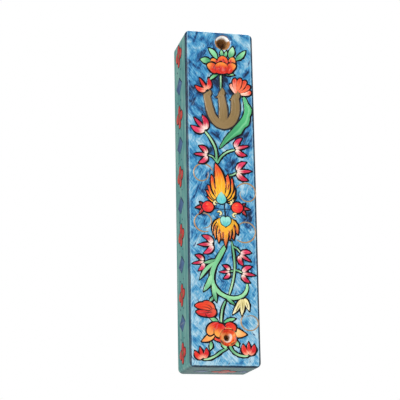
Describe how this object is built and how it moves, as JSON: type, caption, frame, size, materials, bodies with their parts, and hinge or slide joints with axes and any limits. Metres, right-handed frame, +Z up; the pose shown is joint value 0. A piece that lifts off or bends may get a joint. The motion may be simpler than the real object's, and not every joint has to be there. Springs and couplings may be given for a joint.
{
  "type": "mezuzah case",
  "caption": "Upright painted wooden doorpost case with countersunk screw holes, a rolled parchment in a routed channel and a dovetailed back cover that slides up.",
  "frame": {"origin": "centre of the back face, which lies against the doorpost", "axes": "+Z up along the case, -Y out of the painted front, +X to the right seen from the front, +Y into the doorpost"},
  "size_m": [0.028, 0.022, 0.1364],
  "materials": {
    "painted_block": "hand-painted acrylic under gloss lacquer",
    "bare_wood": "sanded, unfinished",
    "parchment": "matte"
  },
  "bodies": {
    "case": {"case_body": "painted_block", "parchment_scroll": "parchment"},
    "cover": {"back_cover": "bare_wood"}
  },
  "joints": [
    {"name": "cover_slide", "type": "slide", "parent": "case", "child": "cover", "axis": [0, 0, 1], "range_m": [0, 0.115]}
  ]
}
